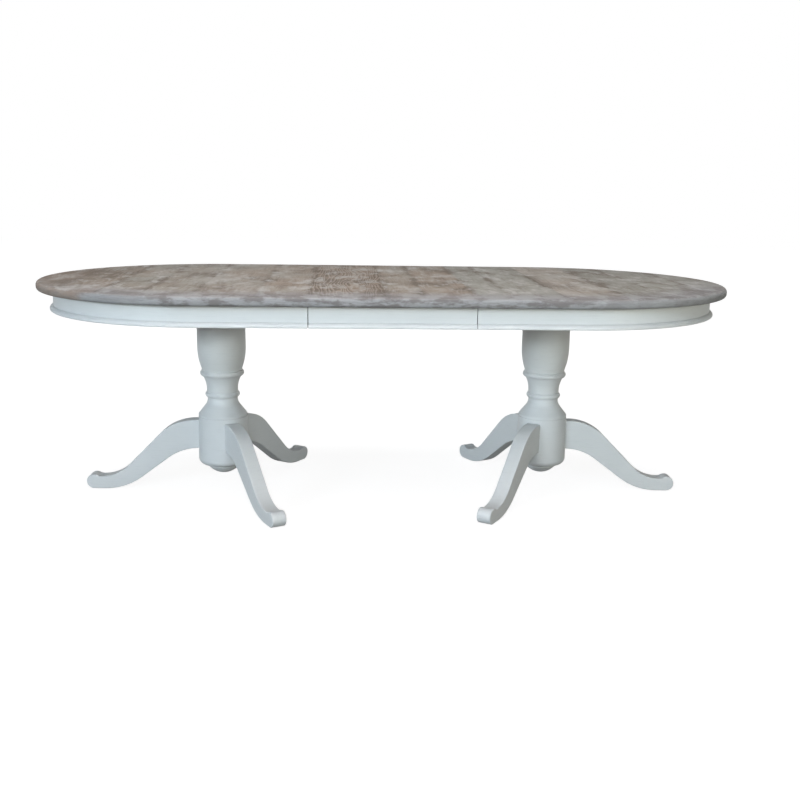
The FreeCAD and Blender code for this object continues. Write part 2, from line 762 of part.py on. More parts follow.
def leg_outline(sketch):
    """Side of a leg: an S-curve above and below, joined by a rounded toe. Every joint is tangent."""
    sole = value("glide_thickness")
    seat = value("leg_seat")
    lower = s_curve(value("heel_reach"), value(LEG_BOTTOM), sole, value("lower_knee_radius"),
                    value("lower_foot_radius"), value("lower_slope"))
    upper = s_curve(value("instep_reach"), value(LEG_TOP), value("instep_height"),
                    value("upper_knee_radius"), value("upper_foot_radius"), value("upper_slope"))
    toe = Vector(value("toe_reach"), sole, 0)
    radius = value("toe_radius")
    instep = upper[3]
    drop = instep.y - sole - radius
    step = toe.x - instep.x
    hollow = (step * step + drop * drop - radius * radius) / (2 * (radius - drop))
    toe_centre = toe + Vector(0, radius, 0)
    hollow_centre = instep + Vector(0, hollow, 0)
    crest = toe_centre + (hollow_centre - toe_centre).normalize() * radius
    toe_arc = Part.Arc(toe, toe_centre + Vector(radius, 0, 0), crest)
    line, arc = Part.LineSegment, arc_between
    geometry = [
        line(Vector(seat, lower[0].y, 0), lower[0]),
        arc(lower[0], lower[1], -value("lower_knee_radius")),
        line(lower[1], lower[2]),
        arc(lower[2], lower[3], value("lower_foot_radius")),
        line(lower[3], toe),
        toe_arc,
        arc(crest, instep, -hollow),
        arc(instep, upper[2], -value("upper_foot_radius")),
        line(upper[1], upper[2]),
        arc(upper[1], upper[0], value("upper_knee_radius")),
        line(upper[0], Vector(seat, upper[0].y, 0)),
        line(Vector(seat, upper[0].y, 0), Vector(seat, lower[0].y, 0)),
    ]
    (under, lower_knee, lower_shin, lower_foot, contact, toe_end, hollow_arc, upper_foot, upper_shin,
     upper_knee, over, back) = [sketch.addGeometry(edge) for edge in geometry]
    tangents = [(under, 2, lower_knee, 2), (lower_knee, 1, lower_shin, 1), (lower_shin, 2, lower_foot, 1),
                (lower_foot, 2, contact, 1), (contact, 2, toe_end, 1), (toe_end, 2, hollow_arc, 2),
                (hollow_arc, 1, upper_foot, 2), (upper_foot, 1, upper_shin, 2),
                (upper_shin, 1, upper_knee, 1), (upper_knee, 2, over, 1)]
    for tangent in tangents:
        sketch.addConstraint(Sketcher.Constraint("Tangent", *tangent))
    for corner in ((over, 2, back, 1), (back, 2, under, 1)):
        sketch.addConstraint(Sketcher.Constraint("Coincident", *corner))
    for level in (under, contact, over):
        sketch.addConstraint(Sketcher.Constraint("Horizontal", level))
    sketch.addConstraint(Sketcher.Constraint("Vertical", back))
    sketch.addConstraint(Sketcher.Constraint("Vertical", upper_foot, 3, upper_foot, 2))
    radii = [(lower_knee, "lower_knee_radius"), (lower_foot, "lower_foot_radius"), (toe_end, "toe_radius"),
             (upper_foot, "upper_foot_radius"), (upper_knee, "upper_knee_radius")]
    for edge, size in radii:
        dimension(sketch, "Radius", edge, size)
    dimension(sketch, "Angle", lower_shin, "-lower_slope")
    dimension(sketch, "Angle", upper_shin, "-upper_slope")
    levels = [(under, 1, LEG_BOTTOM), (over, 2, LEG_TOP), (contact, 1, "glide_thickness"),
              (hollow_arc, 1, "instep_height")]
    for edge, end, size in levels:
        dimension(sketch, "DistanceY", edge, end, size)
    reaches = [(under, 1, "leg_seat"), (contact, 1, "heel_reach"), (contact, 2, "toe_reach"),
               (hollow_arc, 1, "instep_reach")]
    for edge, end, size in reaches:
        dimension(sketch, "DistanceX", edge, end, size)


def glide_reach():
    return "(heel_reach + toe_reach) / 2"


def leg(side, name, turn):
    body = new_body(f"{side}_leg_{name}", side=side, inset="pedestal_inset", turn=turn)
    outline = new_sketch(body, "XZ_Plane", "-leg_width / 2")
    leg_outline(outline)
    pad(body, outline, "leg_width")
    half = value("leg_width") / 2
    seat = value("leg_seat")

    def long_edge(edge):
        """True for an edge of a side face, and not for the flat end at the column."""
        on_side = all(abs(abs(vertex.Y) - half) < 1e-4 for vertex in edge.Vertexes)
        across = abs(edge.Vertexes[0].Y - edge.Vertexes[-1].Y) > 1
        at_seat = all(abs(vertex.X - seat) < 1e-4 for vertex in edge.Vertexes)
        return on_side and not across and not at_seat

    round_edges(body, "leg_edge_radius", long_edge)
    drill(body, "YZ_Plane", "leg_seat", "bolt_radius + thread_play",
          [("0", height) for height in bolt_heights()], "bolt_bite", True)
    drill(body, "XY_Plane", "glide_thickness", "glide_pin_radius + thread_play", [(glide_reach(), "0")],
          "glide_pin_length", True)
    return body


def round_the_legs(solid):
    """The solid and its copies, one for each leg, turned about the axis of the column."""
    copies = []
    for turn in LEG_TURNS:
        turned = solid.copy()
        turned.rotate(Vector(), Vector(0, 0, 1), turn)
        copies.append(turned)
    return copies


def glides(side):
    """Nail-on glides under the three feet."""
    centre = Vector(value(glide_reach()), 0, 0)
    disc = Part.makeCylinder(value("glide_radius"), value("glide_thickness"), centre)
    length = value("glide_thickness + glide_pin_length")
    pin = Part.makeCylinder(value("glide_pin_radius"), length, centre)
    return new_group(f"{side}_glides", round_the_legs(disc.fuse(pin).removeSplitter()),
                     side=side, inset="pedestal_inset")


# Fasteners

def flange_nut(radius, height, flange, bore):
    """Hexagon nut on a round flange, with its flange at the bottom."""
    angles = [math.radians(60 * number) for number in range(7)]
    corners = [Vector(radius * math.cos(angle), radius * math.sin(angle), 0) for angle in angles]
    hexagon = Part.Face(Part.makePolygon(corners)).extrude(Vector(0, 0, height))
    washer = Part.makeCylinder(flange, value("flange_thickness"))
    return hexagon.fuse(washer).removeSplitter().cut(Part.makeCylinder(bore, height))


def tie_rod(side):
    """Rod through the column, from the bore of the drum into the top plate."""
    rod = doc.addObject("Part::Cylinder", f"{side}_tie_rod")
    rod.Label = f"{side}_tie_rod"
    bind(rod, "Radius", "rod_radius")
    bottom = f"({BORE_TOP} - rod_nut_height - bolt_end)"
    bind(rod, "Height", f"{UNDERSIDE} - rod_play - {bottom}")
    place(rod, side=side, inset="pedestal_inset", up=bottom)
    return rod


def tie_rod_nuts(side):
    bore = value("rod_radius + thread_play")
    height = value("rod_nut_height")
    nut = flange_nut(value("rod_nut_radius"), height, value("rod_nut_radius + flange_thickness"), bore)
    upper = nut.copy()
    upper.translate(Vector(0, 0, value(f"{UNDERSIDE} - rod_nut_height - rod_play")))
    lower = nut.copy()
    lower.rotate(Vector(), Vector(1, 0, 0), 180)
    lower.translate(Vector(0, 0, value(BORE_TOP)))
    return new_group(f"{side}_tie_rod_nuts", [upper, lower], side=side, inset="pedestal_inset")


def nut_face():
    """Distance from the axis of the column to the nuts' flanges, against the wall of the bore."""
    return "(sqrt(bore_radius ^ 2 - flange_radius ^ 2) - thread_play)"


def leg_bolts(side):
    start = value(f"{nut_face()} - nut_height - bolt_end")
    length = value("leg_seat + bolt_bite - thread_play") - start
    solids = []
    for height in bolt_heights():
        foot = Vector(start, 0, value(height))
        solids += round_the_legs(Part.makeCylinder(value("bolt_radius"), length, foot, Vector(1, 0, 0)))
    return new_group(f"{side}_leg_bolts", solids, side=side, inset="pedestal_inset")


def leg_nuts(side):
    bore = value("bolt_radius + thread_play")
    nut = flange_nut(value("nut_radius"), value("nut_height"), value("flange_radius"), bore)
    nut.rotate(Vector(), Vector(0, 1, 0), -90)
    solids = []
    for height in bolt_heights():
        seated = nut.copy()
        seated.translate(Vector(value(nut_face()), 0, value(height)))
        solids += round_the_legs(seated)
    return new_group(f"{side}_leg_nuts", solids, side=side, inset="pedestal_inset")


def wood_screw(x, y, bottom, length):
    """Screw driven upwards: a raised head under the piece, and a plain shank."""
    head_height = value("screw_head_height")
    radius = value("screw_radius")
    foot = Vector(x, y, bottom)
    head = Part.makeCone(radius, value("screw_head_radius"), head_height, foot - Vector(0, 0, head_height))
    shank = Part.makeCylinder(radius, length, foot)
    return head.fuse(shank).removeSplitter()


def plate_screws(side):
    length = value("plate_thickness + screw_bite - thread_play")
    solids = [wood_screw(value(x), value(y), value(COLUMN_TOP), length) for x, y in plate_screw_places()]
    return new_group(f"{side}_plate_screws", solids, side=side, inset="pedestal_inset")


def runner_screws(side):
    length = value("runner_height + screw_bite - thread_play")
    solids = [wood_screw(value(x), value(y), value(RUNNER_BOTTOM), length) for x, y in runner_screw_places()]
    return new_group(f"{side}_runner_screws", solids, side=side)


# The leaf's battens and the latches

def batten_screw_places():
    stations = [f"-{BATTEN_STATION}", BATTEN_STATION]
    rows = ["-runner_offset / 2", "0", "runner_offset / 2"]
    return [(station, row) for station in stations for row in rows]


def leaf_batten(label, sign):
    """Batten that keeps the leaf flat and fits between the inner runners."""
    body = new_body(label, inset=f"{sign} * {BATTEN_STATION}")
    half = "(runner_offset - batten_play)"
    sketch = new_sketch(body, "XY_Plane", f"{UNDERSIDE} - batten_thickness")
    draw_outline(sketch, rectangle("-batten_width / 2", f"-{half}", "batten_width / 2", half))
    pad(body, sketch, "batten_thickness")
    centres = [("0", row) for station, row in batten_screw_places()[:3]]
    drill(body, "XY_Plane", UNDERSIDE, "screw_radius + thread_play", centres, "batten_thickness")
    return body


def leaf_screws():
    solids = []
    for places, thickness in ((batten_screw_places(), "batten_thickness"),
                              (keeper_screw_places(), "keeper_thickness")):
        length = value(f"{thickness} + screw_bite - thread_play")
        bottom = value(f"{UNDERSIDE} - {thickness}")
        solids += [wood_screw(value(x), value(y), bottom, length) for x, y in places]
    return new_group("leaf_screws", solids)


def latch(side, name):
    """Turning lever on a boss, drawn in the open position, along the joint and pointing to the apron."""
    row = -SIDES[side] * ACROSS[name]
    body = new_body(f"{side}_latch_{name}", side=side, inset="latch_inset", across=f"{row} * {LATCH_OFFSET}",
                    turn=0 if row > 0 else 180)
    bottom = f"({UNDERSIDE} - latch_boss_height - latch_thickness)"
    end = "latch_end_radius"
    tip = "(latch_length - latch_end_radius)"
    sketch = new_sketch(body, "XY_Plane", bottom)
    draw_outline(sketch, [
        (end, "0"),
        (end, tip, end),
        ("0", f"{tip} + {end}", end),
        (f"-{end}", tip),
        (f"-{end}", "0", end),
        ("0", f"-{end}", end),
    ])
    pad(body, sketch, "latch_thickness")
    boss = new_sketch(body, "XY_Plane", f"{UNDERSIDE} - latch_boss_height")
    draw_circles(boss, "latch_boss_radius", [("0", "0")])
    pad(body, boss, "latch_boss_height")
    drill(body, "XY_Plane", UNDERSIDE, "latch_pin_radius + latch_pin_play", [("0", "0")],
          "latch_boss_height + latch_thickness")
    return body


def latch_pivots(side):
    """Screws that the latches turn on."""
    bottom = value(f"{UNDERSIDE} - latch_boss_height - latch_thickness")
    length = value("latch_boss_height + latch_thickness + screw_bite - thread_play")
    head_height = value("screw_head_height")
    solids = []
    for x, y in latch_places():
        foot = Vector(value(x), value(y), bottom)
        head = Part.makeCylinder(value("latch_boss_radius"), head_height, foot - Vector(0, 0, head_height))
        pin = Part.makeCylinder(value("latch_pin_radius"), length, foot)
        solids.append(head.fuse(pin).removeSplitter())
    return new_group(f"{side}_latch_pivots", solids, side=side)


KEEPER_START = "(leaf_length / 2 - latch_length + latch_inset - keeper_play)"
KEEPER_SIDE = "(latch_end_radius + keeper_play)"


def keeper_screw_places():
    along = f"({KEEPER_START} + keeper_length / 2)"
    across = f"({LATCH_OFFSET} - {KEEPER_SIDE} - keeper_foot / 2)"
    return [(f"{end} * {along}", f"{row} * {across}") for end in (-1, 1) for row in (-1, 1)]


def leaf_keepers():
    """Stepped plates under the leaf whose lips take the tips of the closed latches."""
    under = value(UNDERSIDE)
    thickness = value("keeper_thickness")
    drop = value("latch_boss_height + latch_thickness + keeper_play")
    lip_bottom = under - drop - thickness
    length = value("keeper_length")
    foot = value("keeper_foot")
    side = -value(KEEPER_SIDE)
    pieces = [
        Part.makeBox(length, foot, thickness, Vector(0, side - foot, under - thickness)),
        Part.makeBox(length, thickness, drop + thickness, Vector(0, side - thickness, lip_bottom)),
        Part.makeBox(length, value("keeper_lip"), thickness, Vector(0, side - thickness, lip_bottom)),
    ]
    keeper = pieces[0].fuse(pieces[1:]).removeSplitter()
    hole = Vector(length / 2, side - foot / 2, under - thickness)
    keeper = keeper.cut(Part.makeCylinder(value("screw_radius + thread_play"), thickness, hole))
    keeper.translate(Vector(value(KEEPER_START), value(LATCH_OFFSET), 0))
    solids = [keeper, keeper.mirror(Vector(), Vector(1, 0, 0))]
    solids += [solid.mirror(Vector(), Vector(0, 1, 0)) for solid in solids]
    return new_group("leaf_keepers", solids)


def build_end(side):
    pieces = [
        end_top(side), end_apron(side), end_glue_blocks(side),
        runner(side, "outer"), runner(side, "inner"), runner_stops(side), runner_screws(side),
        inner_bearer(side), outer_bearer(side),
        top_plate(side), plate_screws(side), tie_rod(side), tie_rod_nuts(side),
        column(side), base_cap(side), leg_bolts(side), leg_nuts(side), glides(side),
        leg(side, "outer", LEG_TURNS[1]), latch_pivots(side),
    ]
    for name in ACROSS:
        turn = LEG_TURNS[2] if SIDES[side] == ACROSS[name] else LEG_TURNS[0]
        pieces.append(leg(side, name, turn))
        pieces.append(latch(side, name))
    return pieces


def build_leaf():
    return [
        leaf_top(), leaf_apron("leaf_apron_front", 0), leaf_apron("leaf_apron_back", 180),
        leaf_glue_blocks(), leaf_batten("leaf_batten_left", -1), leaf_batten("leaf_batten_right", 1),
        leaf_screws(), leaf_keepers(),
    ]


def check(pieces):
    """Stops if any object failed to compute or any piece is empty or not sound."""
    doc.recompute()
    for item in doc.Objects:
        if {"Invalid", "Error"} & set(item.State):
            raise RuntimeError(f"{item.Name} failed: {item.State}")
    for piece in pieces:
        if piece.Shape.isNull() or not piece.Shape.isValid() or not piece.Shape.Solids:
            raise RuntimeError(f"{piece.Label} has no sound shape")


nodes = build_end("left") + build_leaf() + build_end("right")
check(nodes)
for node in nodes:
    node.Shape.exportStep(f"parts/{node.Label}.step")
print(f"{len(nodes)} nodes, {sum(len(node.Shape.Solids) for node in nodes)} solids")
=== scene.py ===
"""Finishes for an extending oval dining table: boarded limed-oak top, pale painted pedestals."""
import math
from functools import partial

import bmesh
import bpy
from bpy.props import FloatProperty, FloatVectorProperty, PointerProperty
from mathutils import Matrix, Vector


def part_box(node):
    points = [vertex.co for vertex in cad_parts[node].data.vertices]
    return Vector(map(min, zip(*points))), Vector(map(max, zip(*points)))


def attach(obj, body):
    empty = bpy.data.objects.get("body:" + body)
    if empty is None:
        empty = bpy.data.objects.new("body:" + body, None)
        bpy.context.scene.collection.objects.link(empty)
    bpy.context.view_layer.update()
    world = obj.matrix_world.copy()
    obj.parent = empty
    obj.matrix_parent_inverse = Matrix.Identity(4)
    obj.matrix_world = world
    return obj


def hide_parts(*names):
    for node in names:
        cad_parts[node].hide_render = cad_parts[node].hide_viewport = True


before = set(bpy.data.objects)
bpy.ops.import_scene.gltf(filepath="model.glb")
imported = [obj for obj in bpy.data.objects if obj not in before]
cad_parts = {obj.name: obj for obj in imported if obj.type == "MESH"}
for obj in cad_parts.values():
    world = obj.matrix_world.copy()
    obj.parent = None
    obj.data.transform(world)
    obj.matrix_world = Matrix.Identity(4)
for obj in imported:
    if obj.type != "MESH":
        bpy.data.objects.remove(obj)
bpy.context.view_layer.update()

bl_info = {
    "name": "Extending Dining Table",
    "version": (1, 0, 0),
    "blender": (4, 5, 0),
    "location": "View3D > Sidebar > Table",
    "description": "Boarded top, painted pedestals and studio for an extending oval table",
    "category": "Object",
}

# Nodes that each side of the table has, by finish
SIDES = {"left": -1, "right": 1}
PAINTED = ("apron", "column", "base_cap", "leg_outer", "leg_front", "leg_back")
RUNNERS = ("outer_runner", "inner_runner", "runner_stops")
CROSS_WOOD = ("inner_bearer", "outer_bearer", "top_plate", "glue_blocks")
FASTENERS = ("tie_rod", "tie_rod_nuts", "leg_bolts", "leg_nuts", "plate_screws", "runner_screws",
             "latch_pivots")
LATCHES = ("latch_front", "latch_back")
GLIDES = ("glides",)

# The boards of the top run across the table. An end lists its boards from the leaf joint outwards,
# and the leaf from left to right: the distance to the far side of the board, its shade (0 dark,
# 1 pale), its warmth (0 grey, 1 brown) and its figure (how plainly the growth rings show). The last
# board goes to the end of its top.
END_BOARDS = {
    "left": [(0.150, 0.52, 0.62, 0.25), (0.335, 0.64, 0.56, 0.20), (0.485, 0.54, 0.46, 0.30),
             (0.620, 0.48, 0.44, 0.25), (0.765, 0.38, 0.60, 0.35), (1.0, 0.20, 0.76, 0.25)],
    "right": [(0.105, 0.58, 0.06, 0.25), (0.270, 0.50, 0.14, 0.20), (0.455, 0.66, 0.50, 0.30),
              (0.600, 0.34, 0.06, 0.25), (0.760, 0.50, 0.08, 0.30), (1.0, 0.46, 0.14, 0.20)],
}
LEAF_BOARDS = [(0.230, 0.44, 0.90, 1.0), (0.345, 0.48, 0.60, 0.25), (1.0, 0.40, 0.66, 0.2)]

# Number of the first board of each top. A board's number picks its growth rings.
FIRST_BOARD = {"left": 3, "right": 21, "leaf": 40}


# Settings

def colour(name, words, default):
    return FloatVectorProperty(name=name, description=words, subtype="COLOR", size=3, min=0, max=1,
                               default=default)


def length(name, words, default):
    return FloatProperty(name=name, description=words, subtype="DISTANCE", unit="LENGTH", min=0,
                         default=default)


def angle(name, words, default):
    return FloatProperty(name=name, description=words, subtype="ANGLE", default=default)


def power(name, words, default):
    return FloatProperty(name=name, description=words, subtype="POWER", default=default)


class TableTopSettings(bpy.types.PropertyGroup):
    """Sizes and colours of the boarded top."""
    edge_radius: length("Edge radius", "Rounding of the upper edge", 0.012)
    under_radius: length("Under radius", "Rounding of the lower edge", 0.010)
    seam_width: length("Seam width", "Half the width of the groove between two boards", 0.0009)
    seam_depth: length("Seam depth", "Depth of the groove between two boards", 0.0006)
    ring_spacing: length("Ring spacing", "Distance between two growth rings", 0.0115)
    dark_wood: colour("Dark wood", "Late wood in the darkest boards", (0.164, 0.133, 0.105))
    brown_wood: colour("Brown wood", "Body of the warm boards", (0.384, 0.311, 0.248))
    grey_wood: colour("Grey wood", "Body of the weathered boards", (0.354, 0.346, 0.303))
    lime: colour("Lime", "White pigment left in the pores", (0.545, 0.529, 0.499))
    rim_pale: colour("Pale rim", "Lime left along the rim", (0.400, 0.399, 0.405))
    rim_dark: colour("Dark rim", "Wood rubbed through the lime of the rim", (0.233, 0.222, 0.221))
    edge_pale: colour("Pale edge", "Lime left on the edge", (0.292, 0.304, 0.307))
    edge_dark: colour("Dark edge", "Edge where the lime has gone", (0.172, 0.165, 0.163))
    edge_brown: colour("Brown edge", "Edge rubbed bare at the left end", (0.298, 0.234, 0.186))


class PaintSettings(bpy.types.PropertyGroup):
    """Colours of the paint and of the bare wood and metal underneath."""
    paint: colour("Paint", "Pale satin paint", (0.700, 0.735, 0.735))
    # Darker paint for the strokes and scuffs, and painted shade in the hollows
    paint_dark_and_shade: colour("Paint in hollows", "Paint that lies thick in a hollow",
                        (0.510, 0.540, 0.540))
    bare_wood: colour("Bare wood", "Runners, bearers and blocks", (0.520, 0.375, 0.235))
    zinc: colour("Zinc", "Bolts and screws", (0.600, 0.610, 0.620))
    latch: colour("Latch plate", "Turning latches and keepers", (0.600, 0.520, 0.330))
    nylon: colour("Nylon", "Glides under the feet", (0.700, 0.690, 0.650))


class StudioSettings(bpy.types.PropertyGroup):
    """Camera and light."""
    camera_place: FloatVectorProperty(name="Camera place", description="Where the camera stands",
                                      subtype="TRANSLATION", unit="LENGTH", size=3,
                                      default=(-0.14674, -3.38936, 1.07704))
    camera_yaw: angle("Yaw", "Turn of the camera to the right", 0.0595)
    camera_pitch: angle("Pitch", "Tilt of the camera downwards", 0.21795)
    camera_roll: angle("Roll", "Lean of the camera", 0.01566)
    camera_lens: FloatProperty(name="Lens", description="Focal length on a 36 mm sensor",
                               default=44.31)
    window_power: power("Window", "Light from the left front, in watts", 388)
    front_power: power("Front", "Light from beside the camera, in watts", 25)
    high_power: power("High", "Light from far behind the camera, in watts", 72)
    steep_power: power("Steep", "Light from above the front edge, in watts", 34)
    fill_power: power("Fill", "Light from the right front, in watts", 12.2)
    back_power: power("Back", "Light from behind, below the top, in watts", 70)
    end_power: power("Ends", "Light on each end from behind, in watts", 36)
    ceiling_strength: FloatProperty(name="Ceiling", description="Light from above", min=0,
                                    default=1.39)
    room_level: FloatProperty(name="Room", description="Even light from all sides",
                              subtype="FACTOR", default=0.02)


# Node graphs

class Graph:
    """Builds one material from nodes, with short calls for the usual ones."""

    def __init__(self, name):
        self.material = bpy.data.materials.new(name)
        self.material.use_nodes = True
        self.tree = self.material.node_tree
        self.shader = next(node for node in self.tree.nodes if node.type == "BSDF_PRINCIPLED")

    def node(self, kind, inputs=(), **settings):
        made = self.tree.nodes.new(f"ShaderNode{kind}")
        for key, setting in settings.items():
            setattr(made, key, setting)
        for key, given in dict(inputs).items():
            self.feed(made.inputs[key], given)
        return made

    def feed(self, socket, given):
        """Links a socket, or sets its plain value."""
        if isinstance(given, bpy.types.NodeSocket):
            self.tree.links.new(given, socket)
        elif socket.type == "RGBA":
            socket.default_value = (*given, 1)
        else:
            socket.default_value = given

    def math(self, operation, *terms):
        return self.node("Math", enumerate(terms), operation=operation).outputs[0]

    def product(self, first, *others):
        for other in others:
            first = self.math("MULTIPLY", first, other)
        return first

    def weighted(self, *pairs):
        """Sum of amounts, each times its weight."""
        total, *parts = [self.math("MULTIPLY", amount, weight) for amount, weight in pairs]
        for part in parts:
            total = self.math("ADD", total, part)
        return total

    def relief(self, amounts, table):
        """Sum of the amounts that a table names, each times its weight there."""
        return self.weighted(*((amounts[name], weight) for name, weight in table.items()))

    def hypotenuse(self, first, second):
        squares = [self.math("MULTIPLY", side, side) for side in (first, second)]
        return self.math("SQRT", self.math("ADD", *squares))

    def centred(self, amount):
        """Moves an amount from 0 to 1 so that its middle is 0."""
        return self.math("SUBTRACT", amount, 0.5)

    def place(self):
        """The point on the piece, in metres, as separate X, Y and Z."""
        point = self.node("TexCoord").outputs["Object"]
        return self.node("SeparateXYZ", {0: point}).outputs

    def noise(self, axes, repeats, detail, roughness, distortion=0.0):
        """Noise with its own repeats per metre along each axis."""
        scaled = [self.math("MULTIPLY", axis, amount) for axis, amount in zip(axes, repeats)]
        point = self.node("CombineXYZ", enumerate(scaled)).outputs[0]
        made = self.node("TexNoise", {"Vector": point, "Scale": 1.0, "Detail": detail,
                                      "Roughness": roughness, "Distortion": distortion})
        return made.outputs["Fac"]

    def noises(self, axes, table):
        return {name: self.noise(axes, *values) for name, values in table.items()}

    def between(self, amount, low, high, bottom=0.0, top=1.0):
        """Maps low to bottom and high to top, smoothly and clamped."""
        made = self.node("MapRange", {"Value": amount, "From Min": low, "From Max": high,
                                      "To Min": bottom, "To Max": top},
                         interpolation_type="SMOOTHSTEP")
        return made.outputs["Result"]

    def add_ranges(self, total, amounts, table):
        """Adds one range for each row of a table."""
        for name, limits in table.items():
            total = self.math("ADD", total, self.between(amounts[name], *limits))
        return total

    def mix(self, amount, first, second):
        made = self.node("Mix", data_type="RGBA")
        sockets = [socket for socket in made.inputs if socket.type == "RGBA"]
        self.feed(made.inputs[0], amount)
        self.feed(sockets[0], first)
        self.feed(sockets[1], second)
        return next(socket for socket in made.outputs if socket.type == "RGBA")

    def attribute(self, name):
        return self.node("Attribute", attribute_name=name).outputs["Fac"]

    def bump(self, height, strength, distance):
        made = self.node("Bump", {"Height": height, "Strength": strength, "Distance": distance})
        self.feed(self.shader.inputs["Normal"], made.outputs["Normal"])

    def set(self, **inputs):
        for name, given in inputs.items():
            self.feed(self.shader.inputs[name.replace("_", " ")], given)
        return self.material


def shaded(tint, share):
    return tuple(part * share for part in tint)


# In the values of the finishes below, a noise is its repeats per metre along X, Y and Z, its detail
# and its roughness, with any distortion last. A range maps its first two values smoothly to its
# last two, or to 0 and 1. A bump is its strength and its depth in metres.

# Growth rings. The heart of the tree wanders and shifts across the board, and lies below it at a
# slope along it. Its distances are in metres.
HEART_WANDER_NOISE = ((14.0, 2.0, 1.0), 2, 0.5)
HEART_WANDER = 0.13
HEART_SHIFT = 0.09
HEART_DEPTH = 0.05
HEART_SLOPE = 0.14
LATE_STARTS = (0.35, 0.70)
LATE_ENDS = (0.85, 1.0, 1.0, 0.0)
RINGS_FADE_NOISE = ((9.0, 9.0, 1.0), 3, 0.5)
RINGS_FADE = (0.34, 0.56, 0.35, 1.0)


def growth_rings(graph, settings, x, y):
    """How dark the late wood is at a point of a board, and where in its ring the point lies."""
    board = graph.attribute("board")
    chance = graph.node("TexWhiteNoise", {"W": board}, noise_dimensions="1D").outputs["Color"]
    parts = graph.node("SeparateColor", {0: chance}).outputs[:3]
    shift, depth, slope = [graph.centred(part) for part in parts]
    wander = graph.centred(graph.noise((x, y, board), *HEART_WANDER_NOISE))
    off_middle = graph.math("SUBTRACT", x, graph.attribute("middle"))
    across = graph.weighted((off_middle, 1.0), (wander, HEART_WANDER), (shift, HEART_SHIFT))
    sloped = graph.math("MULTIPLY", y, graph.math("MULTIPLY", slope, HEART_SLOPE))
    below = graph.math("ADD", graph.math("MULTIPLY", depth, HEART_DEPTH), sloped)
    radius = graph.hypotenuse(across, below)
    ring = graph.math("FRACT", graph.math("DIVIDE", radius, settings.ring_spacing))
    late = graph.product(graph.between(ring, *LATE_STARTS), graph.between(ring, *LATE_ENDS))
    fade = graph.between(graph.noise((x, y, board), *RINGS_FADE_NOISE), *RINGS_FADE)
    shown = graph.math("MULTIPLY", fade, graph.attribute("figure"))
    return graph.math("MULTIPLY", late, shown), ring


def from_rim(graph, x, y):
    """Distance in from the outline of the whole top, a rectangle with two round ends."""
    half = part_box("leaf_top")[1].y
    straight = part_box("right_top")[1].x - half
    past = graph.math("SUBTRACT", graph.math("ABSOLUTE", x), straight)
    past = graph.math("MAXIMUM", past, 0.0)
    return graph.math("SUBTRACT", half, graph.hypotenuse(past, y))


# Limed oak
OAK_NOISES = {
    "fibre": ((420.0, 9.0, 420.0), 3, 0.6),
    "streak": ((70.0, 4.0, 70.0), 3, 0.55),
    "pore": ((1500.0, 60.0, 1500.0), 2, 0.5),
    "blotch": ((8.0, 4.5, 8.0), 4, 0.6),
    "wash": ((26.0, 11.0, 26.0), 4, 0.65),
    "patch": ((15.0, 9.0, 45.0), 4, 0.65),
    "scrub": ((34.0, 34.0, 520.0), 3, 0.6),
}
OAK_CLOUD_NOISE = ((6.0, 3.5, 1.0), 3, 0.55)
PORE_SHOWS = (0.60, 0.72)
PORE_IN_RING = (0.75, 0.35)
GRIME_FROM_SEAM = (0.020, 0.002)
GRIME_IN_BLOTCH = (0.36, 0.60)
BROWNED = (0.1, 0.9)
LATE_DARKENS = 0.55
GRIME_DARKENS = 0.6
# The row for x darkens the left tip.
DARKENED_BY = {
    "streak": (0.50, 0.80, 0.0, 0.35),
    "blotch": (0.47, 0.70, 0.0, 0.70),
    "shade": (0.7, 0.1, 0.0, 0.25),
    "fibre": (0.5, 0.8, 0.0, 0.22),
    "x": (-0.82, -1.00, 0.0, 0.30),
}
MOST_DARK = 0.85
EARLY_WHITENS = (0.40, 0.10, 0.0, 0.26)
PORE_WHITENS = 0.5
WHITENED_BY = {
    "wash": (0.48, 0.70, 0.0, 0.72),
    "blotch": (0.50, 0.28, 0.0, 0.40),
    "shade": (0.4, 1.0, 0.0, 0.30),
}
MOST_WHITE = 0.8
WORN_PATCHES = (0.42, 0.58)
EDGE_SCRUBBED = (0.46, 0.70, 0.0, 0.45)
OAK_RELIEF = {"fibre": 0.5, "late": 0.35, "pore": -0.8}
OAK_BUMP = (0.5, 0.0006)
OAK_ROUGH = (0.2, 0.9, 0.58, 0.76)

# Where use has changed the oak: by the distance from the rim, and by X and Y, in metres
RIM_RUBBED = (0.22, 0.03, 0.0, 0.8)
RIM_RUBBED_IN_FRONT = (0.10, -0.35, 0.2, 1.0)
RIM_RUBBED_OFF_LEFT_TIP = (-0.98, -0.80, 0.25, 1.0)
EDGE_BROWN_AT_LEFT_TIP = (-0.88, -0.95, 0.0, 0.75)
EDGE_LIMED_ON_LEFT = (-0.66, -0.76, 0.0, 0.85)
EDGE_LIMED_OFF_LEFT_TIP = (-0.93, -0.87)
EDGE_LIMED_ON_RIGHT = (0.45, 0.75, 0.0, 0.8)

# Heights between which the edge takes over from the upper face, and the bare underside from the
# edge, in metres from the nearer face, and how fully the edge takes over
EDGE_BELOW_TOP = (0.0002, -0.0045)
BARE_ABOVE_UNDERSIDE = (0.0012, 0.0002)
EDGE_COVER = 0.92


